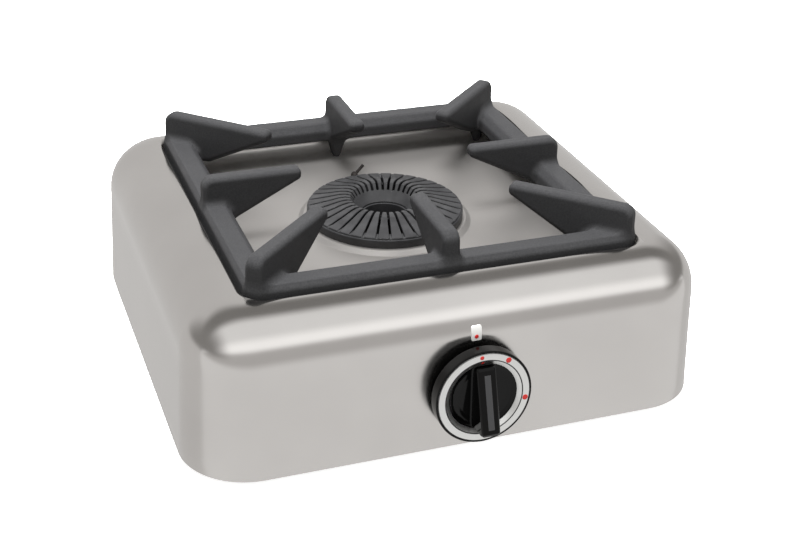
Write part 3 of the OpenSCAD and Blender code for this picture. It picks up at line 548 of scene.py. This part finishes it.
def shell_rings():
    """Rows of points over the sheet's outer face: flange, wall, rolled edge, rim and well."""
    rings = []

    def shell_row(inset, z):
        rings.append(plan_ring(SHELL_W / 2 - inset, SHELL_D / 2 - inset, CORNER_R - inset, z + FOOT_H))

    def well_ring(outset, z):
        return plan_ring(
            GRATE_W / 2 + WELL_GAP + outset, GRATE_D / 2 + WELL_GAP + outset,
            WELL_CORNER_R + outset, z + FOOT_H, BURNER_Y)

    fold = 0.8
    for inset in (FLANGE_W, FLANGE_W / 2, 2.0):
        shell_row(inset, 0.0)
    for k in range(5):
        a = math.pi / 2 * k / 4
        shell_row(fold - fold * math.sin(a), fold - fold * math.cos(a))
    roll_z = SHELL_H - ROLL_R
    top_z = roll_z + ROLL_R * math.sin(DRAFT)
    for k in range(1, 8):
        z = fold + (top_z - fold) * k / 8
        shell_row(z * LEAN, z)
    # up the roll until it meets the lip, which lies nearer to the walls in front than at the sides
    rim = well_ring(LIP_R, 0.0)
    wall = plan_ring(SHELL_W / 2 - top_z * LEAN, SHELL_D / 2 - top_z * LEAN, CORNER_R - top_z * LEAN, 0.0)
    steps = 22
    ends = []
    for rx, ry, _ in rim:
        ends.append(math.asin(min(1.0, (form_height(rx, ry) - roll_z) / ROLL_R)))
    for k in range(steps + 1):
        row = []
        for i, end in enumerate(ends):
            a = DRAFT + (end - DRAFT) * k / steps
            whole = (math.cos(DRAFT) - math.cos(a)) / (math.cos(DRAFT) - math.cos(end))
            x = wall[i][0] + (rim[i][0] - wall[i][0]) * whole
            y = wall[i][1] + (rim[i][1] - wall[i][1]) * whole
            row.append((x, y, FOOT_H + form_height(x, y)))
        rings.append(row)
    crown = [z for _, _, z in rings[-1]]
    for k in range(1, 9):
        a = math.pi / 2 * k / 8
        row = well_ring(LIP_R - LIP_R * math.sin(a), 0.0)
        low = FOOT_H + SHELL_H - LIP_R
        share = math.cos(a)
        rings.append([(x, y, low + (top - low) * share) for (x, y, _), top in zip(row, crown)])
    floor_z = SHELL_H - WELL_DEPTH
    rings.append(well_ring(0.0, floor_z + (WELL_DEPTH + FLOOR_R) / 2 - 2))
    for k in range(9):
        a = math.pi / 2 * k / 8
        rings.append(well_ring(-FLOOR_R + FLOOR_R * math.cos(a), floor_z + FLOOR_R - FLOOR_R * math.sin(a)))
    return rings


def floor_rings(edge):
    """Rows from the edge of the well's floor in to the collar and over it to its hole."""
    rings = []
    count = len(edge)
    # each point of the collar lies in the direction of its partner on the edge
    turn = [math.atan2(y - BURNER_Y, x) for x, y, _ in edge]

    def circle(r, z):
        return [(r * math.cos(a), BURNER_Y + r * math.sin(a), z) for a in turn]

    foot = circle(COLLAR_R + 1.5, FLOOR_Z)
    for k in range(1, 7):
        t = k / 7
        rings.append([tuple(np.array(edge[i]) * (1 - t) + np.array(foot[i]) * t) for i in range(count)])
    outline = rounded([
        (COLLAR_R + 8, FLOOR_Z, 0), (COLLAR_R, FLOOR_Z, 1.5), (COLLAR_R - COLLAR_SLOPE, COLLAR_Z, 1.5),
        (CUP_R + 1, COLLAR_Z, 0), (CUP_R + 1, COLLAR_Z - 8, 0),
    ], 1.5, 6)[1:-1]
    rings += [circle(r, z) for r, z in outline if r < COLLAR_R + 1.4]
    return rings


def pressed_shell():
    """The body: one pressed sheet from its flange to the hole in the well."""
    rings = shell_rings()
    rings += floor_rings(rings[-1])
    around = len(rings[0])
    made = piece("pressed_shell", np.concatenate(rings), ring_faces(len(rings), around),
                 STAINLESS)
    thick = made.modifiers.new("sheet", "SOLIDIFY")
    thick.thickness = SHEET * MM
    thick.offset = -1.0
    thick.use_even_offset = True
    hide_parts("body_shell")
    return made


pressed_shell()


# ---- Cast pan support ----

def grate_field(x, y, z):
    """Distance field of the casting, from the burner's axis and the well's floor."""
    x, y = np.abs(x), np.abs(y)
    bar_z = LEG_H + BAR_H
    top = bar_z + FINGER_RISE
    # the frame: a section with soft shoulders carried round a rounded rectangle
    qx = x - (GRATE_W / 2 - GRATE_CORNER_R)
    qy = y - (GRATE_D / 2 - GRATE_CORNER_R)
    plan = np.hypot(np.maximum(qx, 0), np.maximum(qy, 0)) + np.minimum(np.maximum(qx, qy), 0)
    depth = GRATE_CORNER_R - plan
    inner_z = LEG_H + BAR_H * 0.6
    outer_z = LEG_H + BAR_H * 0.75
    section = rounded([
        (0, LEG_H, 1), (BAR_W, LEG_H, 1), (BAR_W - 0.6, inner_z, 4),
        (BAR_W - BAR_BEVEL, bar_z, 3), (BAR_BEVEL * 0.7, bar_z, 1), (1, outer_z, 3),
    ], 1, 3)
    result = polygon_distance(depth, z, section)

    def finger(along, across, tip, end, leg):
        """Field of one finger with its leg, from its side view and its thickness at each height."""
        low = top - TIP_DEPTH
        foot = FINGER_FOOT
        slope_end = min(tip + (low - LEG_H) / FINGER_SLOPE, leg - foot)
        side = rounded([
            (tip, top, 3.4), (tip, low, 3.0), (slope_end, LEG_H, 4), (leg - foot, LEG_H - 1, 1),
            (leg - foot / 2, 0, 0.5), (leg + foot / 2, 0, 0.5), (leg + foot, LEG_H - 1, 1), (end, LEG_H, 1),
            (end, top, 7),
        ], 1, 9)
        halves = [LEG_T / 2, FINGER_T * 0.575, FINGER_T * 0.525, FINGER_T * 0.47]
        half = np.interp(z, [0, LEG_H, bar_z, top], halves)
        return rounded_cut(polygon_distance(along, z, side), np.abs(across) - half, FINGER_EDGE_R)

    turn = math.atan2(GRATE_D, GRATE_W)
    along = x * math.cos(turn) + y * math.sin(turn)
    across = y * math.cos(turn) - x * math.sin(turn)
    middle = BAR_W / 2 + 3
    fingers = np.minimum(
        np.minimum(finger(x, y, SIDE_TIP, GRATE_W / 2 - FINGER_INSET, GRATE_W / 2 - middle),
                   finger(y, x, SIDE_TIP, GRATE_D / 2 - FINGER_INSET, GRATE_D / 2 - middle)),
        finger(along, across, CORNER_TIP, CORNER_END, CORNER_END - CORNER_LEG_IN))
    return blended(result, fingers, FINGER_FILLET)


def cast_grate():
    """The pan support: one casting of frame, eight fingers and their legs."""
    reach = (GRATE_W / 2 + 2, GRATE_D / 2 + 2)
    low = (-reach[0], -reach[1], -1.5)
    high = (reach[0], reach[1], 47.0)
    points, faces, normals = skin_of(grate_field, low, high, GRATE_STEP)
    points = shifted(points, (0, BURNER_Y, FLOOR_Z))
    made = piece("cast_grate", points, faces, IRON, "pan_support_body", normals)
    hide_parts("pan_support")
    return made


cast_grate()


# ---- Burner ----

def cap_field(x, y, z):
    """Distance field of the slotted cap, from the burner's axis."""
    radius = np.hypot(x, y)
    slope_r = (CAP_R + CREST_R) / 2
    slope_z = EDGE_Z + CAP_RISE * 0.62
    funnel_r = CREST_R - 3.5
    inner_z = CREST_Z - 3
    low_z = COLLAR_Z + 1
    soft = 0.3
    section = [
        (CAP_R - 5.5, EDGE_Z + soft), (CAP_R - soft, EDGE_Z + soft), (CAP_R - 0.5, EDGE_Z + 0.9),
        (slope_r, slope_z - soft), (CREST_R + 6, CREST_Z - 0.6 - soft), (CREST_R + 1.5, CREST_Z - soft),
        (CREST_R - 1.5, CREST_Z - 0.5 - soft), (funnel_r + soft, inner_z), (AIR_R + soft, low_z + soft),
        (AIR_R + 2, low_z + soft), (funnel_r + CAP_T, inner_z - 1.6), (CREST_R + 1.5, CREST_Z - CAP_T),
        (slope_r, slope_z - CAP_T), (CAP_R - 5.5, EDGE_Z + 0.6),
    ]
    body = polygon_distance(radius, z, section) - soft
    share = 2 * math.pi / SLOT_COUNT
    angle = np.mod(np.arctan2(y, x), share) - share / 2
    out, off = radius * np.cos(angle), radius * np.sin(angle)
    slot = np.maximum(np.abs(off) - SLOT_W / 2, np.maximum(funnel_r - 0.8 - out, EDGE_Z + 0.8 - z))
    return rounded_cut(body, -slot, SLOT_EDGE_R)


def burner_cap():
    """The cap, with its slots cut right through."""
    reach = CAP_R + 1
    low = (-reach, -reach, COLLAR_Z)
    high = (reach, reach, CREST_Z + 1)
    points, faces, normals = skin_of(cap_field, low, high, FINE_STEP)
    made = piece("slotted_cap", shifted(points, (0, BURNER_Y, 0)), faces, ENAMEL,
                 "burner_cap_body", normals)
    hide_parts("burner_cap")
    return made


def burner_rim():
    """The cup under the cap: its rim on the collar and its hollow with the air opening."""
    cup_z = COLLAR_Z - CUP_H
    rim_in = RIM_R - CAST_T
    outline = rounded([
        (AIR_R - 1, cup_z), (CUP_R, cup_z, 2), (CUP_R, COLLAR_Z), (RIM_R, COLLAR_Z, 0.6),
        (RIM_R, EDGE_Z, 0.8), (rim_in, EDGE_Z), (rim_in, COLLAR_Z + CAST_T),
        (CUP_R - CAST_T, COLLAR_Z + CAST_T), (CUP_R - CAST_T, cup_z + CAST_T, 1.5),
        (AIR_R + 2, cup_z + CAST_T, 1.5), (AIR_R + 2, COLLAR_Z + 0.7), (AIR_R - 1, COLLAR_Z + 0.7),
    ], 0.4, 4)
    points, faces = lathe(outline, 180)
    made = piece("burner_cup_casting", shifted(points, (0, BURNER_Y, 0)), faces, ENAMEL)
    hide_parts("burner_cup")
    return made


burner_cap()
burner_rim()


# ---- Knob ----

FACE_W = KNOB_GAP + SKIRT_H
DIAL_R = KNOB_R - 1.2
DIAL_IN_R = KNOB_R - 6
DISH_R = DIAL_IN_R - 3.2
DISH_W = FACE_W - DISH_DEPTH
DISH_RIM_W = DISH_W + 0.8
GRIP_FOOT = DISH_R - 1.4
GRIP_LINE = ((-GRIP_FOOT + 2, FACE_W + GRIP_RISE), (GRIP_FOOT - 1, FACE_W + GRIP_RISE * 0.2))


def knob_field(u, v, w):
    """Distance field of the black moulding, in the tap's own frame."""
    radius = np.hypot(u, v)
    wall = 1.8
    soft = 0.35
    section = [
        (-5, DISH_W - wall), (KNOB_R - wall - 2, DISH_W - wall), (KNOB_R - wall, DISH_W - wall - 2),
        (KNOB_R - wall, KNOB_GAP + soft), (KNOB_R - soft, KNOB_GAP + soft), (KNOB_R - soft, FACE_W - soft),
        (DIAL_R + soft, FACE_W - soft), (DIAL_R + soft, FACE_W - 0.8), (DIAL_IN_R, FACE_W - 0.8 - soft),
        (DISH_R, DISH_RIM_W - soft), (DISH_R - 2.5, DISH_W + 0.25 - soft), (DISH_R - 6, DISH_W - soft),
        (-5, DISH_W - soft),
    ]
    body = polygon_distance(radius, w, section) - soft
    side = [
        (-GRIP_FOOT, DISH_W - 1), (-GRIP_FOOT - 0.8, FACE_W + GRIP_RISE - 4),
        (-GRIP_FOOT, FACE_W + GRIP_RISE - 1.2), GRIP_LINE[0], GRIP_LINE[1],
        (GRIP_FOOT + 0.8, FACE_W + GRIP_RISE * 0.2 - 0.8), (GRIP_FOOT, DISH_W - 1),
    ]
    flare = np.interp(w, [DISH_W, FACE_W + 3, FACE_W + GRIP_RISE], [GRIP_W / 2, GRIP_W / 2, GRIP_W / 2 - 0.4])
    grip = rounded_cut(polygon_distance(v, w, side), np.abs(u) - flare, GRIP_EDGE_R)
    return blended(body, grip, GRIP_FILLET)


def knob_moulding():
    """The knob: skirt, dished face and grip in one moulding."""
    reach = KNOB_R + 1
    low = (-reach, -reach, KNOB_GAP - 1)
    high = (reach, reach, FACE_W + GRIP_RISE + 1)
    points, faces, normals = skin_of(knob_field, low, high, FINE_STEP)
    turned = normals[:, :1] * TAP_X + normals[:, 1:2] * TAP_Y + normals[:, 2:3] * TAP_Z
    made = piece("knob_moulding", at_tap(points), faces, BLACK, "knob_body", turned)
    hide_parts("knob")
    return made


def dial():
    """The bright ring on the knob's face."""
    outline = rounded([
        (DIAL_R - 0.05, FACE_W - 0.75), (DIAL_R - 0.05, FACE_W + 0.2), (DIAL_IN_R, FACE_W + 0.2, 0.5),
        (DISH_R + 0.3, DISH_RIM_W + 0.8), (DISH_R + 0.3, DISH_RIM_W + 0.2), (DIAL_IN_R, FACE_W - 0.75),
    ], 0.15, 4)
    points, faces = lathe(outline, 200)
    made = piece("dial_ring_foil", at_tap(points), faces, SILVER, "knob_body")
    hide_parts("dial_ring")
    return made


def dial_height(radius):
    """Height of the dial ring's face in the tap's frame: flat, then sloping down into the dish."""
    return float(np.interp(radius, [DISH_R + 0.3, DIAL_IN_R], [DISH_RIM_W + 0.8, FACE_W + 0.2]))


def red_dots_and_painted_reflection():
    """Red dots printed on the dial ring for the off and flame settings, and a painted reflection of the off
    dot: a small red dot on the slope.
    """
    points, faces = [], []
    around = 28
    middle = (DIAL_R + DIAL_IN_R) / 2
    # turn from the top in degrees, distance from the knob's axis and radius of each dot
    # the last dot, on the slope, is a painted reflection of the off dot in the silver slope, not a print
    dots = ((-5, middle, 1.3), (33, middle, 1.8), (100, middle, 1.8), (-4, DISH_R + 1.8, 0.9))
    for turn, out, size in dots:
        centre = (out * math.sin(math.radians(turn)), out * math.cos(math.radians(turn)))
        first = len(points)
        for share, lift in ((1.0, 0.02), (0.97, 0.07), (0.6, 0.08)):
            for k in range(around):
                a = 2 * math.pi * k / around
                u = centre[0] + size * share * math.cos(a)
                v = centre[1] + size * share * math.sin(a)
                points.append((u, v, dial_height(math.hypot(u, v)) + lift))
        faces += ring_faces(3, around, first)
        faces.append(tuple(first + 2 * around + k for k in range(around)))
    return piece("dial_red_dots_and_painted_reflection", at_tap(points), faces, RED_INK_AND_PAINTED_REFLECTION, "knob_body")


def dial_lines():
    """Thin black lines laid on the dial ring at the edges of its flat."""
    points, faces = [], []
    around = 200
    angle = np.arange(around) * 2 * math.pi / around
    for inner, outer in ((DIAL_IN_R - 0.25, DIAL_IN_R + 0.45), (DIAL_R - 0.45, DIAL_R - 0.1)):
        first = len(points)
        for radius, lift in ((inner, 0.01), (inner + 0.1, 0.05), (outer - 0.1, 0.05), (outer, 0.01)):
            w = dial_height(radius) + lift
            points += [(radius * math.cos(a), radius * math.sin(a), w) for a in angle]
        faces += ring_faces(4, around, first)
    return piece("dial_black_lines", at_tap(points), faces, DIAL_LINE_BLACK, "knob_body")


def index_dot():
    """Red dot on the index mark, near its lower edge, lying on the wall's slope."""
    around = 28
    size = 1.3
    centre = (-1.0, MARK_RISE + 2.6)
    points = []
    for share, lift in ((1.0, 0.43), (0.95, 0.49), (0.5, 0.5)):
        for k in range(around):
            a = 2 * math.pi * k / around
            u = centre[0] + size * share * math.cos(a)
            v = centre[1] + size * share * math.sin(a)
            points.append((u, v, lift))
    faces = ring_faces(3, around) + [tuple(2 * around + k for k in range(around))]
    return piece("index_red_dot", at_tap(points), faces, RED_INK_AND_PAINTED_REFLECTION)


knob_moulding()
dial()
red_dots_and_painted_reflection()
dial_lines()
index_dot()


# ---- Stage, light and camera ----

def flat_card(name, corners, finish):
    """A plain card of the stage, from its corners in metres."""
    mesh = bpy.data.meshes.new(name)
    mesh.from_pydata(corners, [], [tuple(range(len(corners)))])
    mesh.materials.append(finish)
    made = bpy.data.objects.new(name, mesh)
    bpy.context.scene.collection.objects.link(made)
    return made


def stage_paper():
    """White paper, lit from behind as well, so that shadows on it stay faint."""
    made, _, shader, _ = new_finish("white_paper", "#F4F4F3", 0.0, 0.9)
    shader.inputs["Specular IOR Level"].default_value = 0.1
    shader.inputs["Emission Color"].default_value = (1, 1, 1, 1)
    shader.inputs["Emission Strength"].default_value = 0.7
    return made


PAPER_HALF = 6
floor = flat_card("floor", [
    (-PAPER_HALF, -PAPER_HALF, 0), (PAPER_HALF, -PAPER_HALF, 0),
    (PAPER_HALF, PAPER_HALF, 0), (-PAPER_HALF, PAPER_HALF, 0),
], stage_paper())
floor.visible_glossy = False
floor.visible_diffuse = False


def studio_world():
    """A pale room: walls, floor, a dark ceiling with two soft panels across it, and dim sides.

    Its bands run from left to right. Each has the turns in degrees where it starts and ends, from
    the back horizon (0) over the top (90) to the front horizon (180), and its brightness.
    """
    back_wall = (-90, 50, 0.7)
    ceiling = (65, 85, 0.25)
    overhead_panel = (100, 130, 1.0)
    front_panel = (145, 155, 1.4)
    front_wall = (165, 185, 0.6)
    floor = (200, 270, 0.9)
    side_walls = 0.3
    peak = 2.0

    def tone(level):
        """Brightness as a colour: the dimmer, the warmer."""
        warm = 1 - 0.08 * max(0.0, 1 - level)
        return level / peak, level * (1 + warm) / 2 / peak, level * warm / peak, 1

    world = bpy.data.worlds.new("studio")
    bpy.context.scene.world = world
    world.use_nodes = True
    tree = world.node_tree
    tree.nodes.clear()
    way = add(tree, "ShaderNodeTexCoord").outputs["Generated"]
    axes = add(tree, "ShaderNodeSeparateXYZ", {0: way}).outputs
    angle = add(tree, "ShaderNodeMath", {0: axes["Z"], 1: axes["Y"]}, operation="ARCTAN2").outputs[0]
    wrapped = add(tree, "ShaderNodeMath", {0: angle, 1: 1.5 * math.pi, 2: -0.5 * math.pi}, operation="WRAP")
    share = between(tree, wrapped.outputs[0], 0.0, 1.0, (-0.5 * math.pi, 1.5 * math.pi))
    ramp = add(tree, "ShaderNodeValToRGB", {0: share})
    bands = (back_wall, ceiling, overhead_panel, front_panel, front_wall, floor)
    stops = [(turn, level) for first, last, level in bands for turn in (first, last)]
    elements = ramp.color_ramp.elements
    while len(elements) < len(stops):
        elements.new(0.5)
    for element, (turn, level) in zip(elements, stops):
        element.position = (turn + 90) / 360
        element.color = tone(level)
    aside = add(tree, "ShaderNodeMath", {0: axes["X"]}, operation="ABSOLUTE").outputs[0]
    far = between(tree, aside, 0.0, 1.0, (0.55, 0.95), soft=True)
    above = between(tree, axes["Z"], 0.0, 1.0, (0.0, 0.15), soft=True)
    side = add(tree, "ShaderNodeMath", {0: far, 1: above}, operation="MULTIPLY").outputs[0]
    mixed = add(tree, "ShaderNodeMix", {0: side, 6: ramp.outputs["Color"]}, data_type="RGBA")
    mixed.inputs[7].default_value = tone(side_walls)
    light = add(tree, "ShaderNodeBackground", {"Color": mixed.outputs[2], "Strength": peak})
    add(tree, "ShaderNodeOutputWorld", {"Surface": light.outputs[0]})


def soft_light(name, place, target, size, power):
    """A soft panel of light that shiny faces don't mirror, since the room has its own panels."""
    data = bpy.data.lights.new(name, "AREA")
    data.shape = "RECTANGLE"
    data.size, data.size_y = size
    data.energy = power
    made = bpy.data.objects.new(name, data)
    made.location = place
    made.rotation_euler = (Vector(target) - Vector(place)).to_track_quat("-Z", "Y").to_euler()
    made.visible_glossy = False
    bpy.context.scene.collection.objects.link(made)
    return made


def camera():
    """The camera, from its place, its turns and its focal length."""
    place = np.array((-288.875, -809.26, 499.502))
    yaw, pitch, roll = 0.356, 0.484, 0.028
    focal_px, width_px, sensor_mm = 1412.865, 800, 36.0
    ahead = np.array((math.sin(yaw) * math.cos(pitch), math.cos(yaw) * math.cos(pitch), -math.sin(pitch)))
    level = np.array((math.cos(yaw), -math.sin(yaw), 0.0))
    upright = np.cross(level, ahead)
    right = math.cos(roll) * level + math.sin(roll) * upright
    up = math.cos(roll) * upright - math.sin(roll) * level
    data = bpy.data.cameras.new("camera")
    data.sensor_width = sensor_mm
    data.lens = focal_px * sensor_mm / width_px
    data.clip_start, data.clip_end = 0.05, 50
    made = bpy.data.objects.new("camera", data)
    turn = Matrix((right, up, -ahead)).transposed().to_4x4()
    made.matrix_world = Matrix.Translation(Vector(place * MM)) @ turn
    bpy.context.scene.collection.objects.link(made)
    bpy.context.scene.camera = made


studio_world()
soft_light("overhead_softbox", (-0.25, 0.15, 2.6), (0, 0, 0), (1.2, 1.2), 300)
camera()
bpy.context.scene.view_settings.view_transform = "Standard"
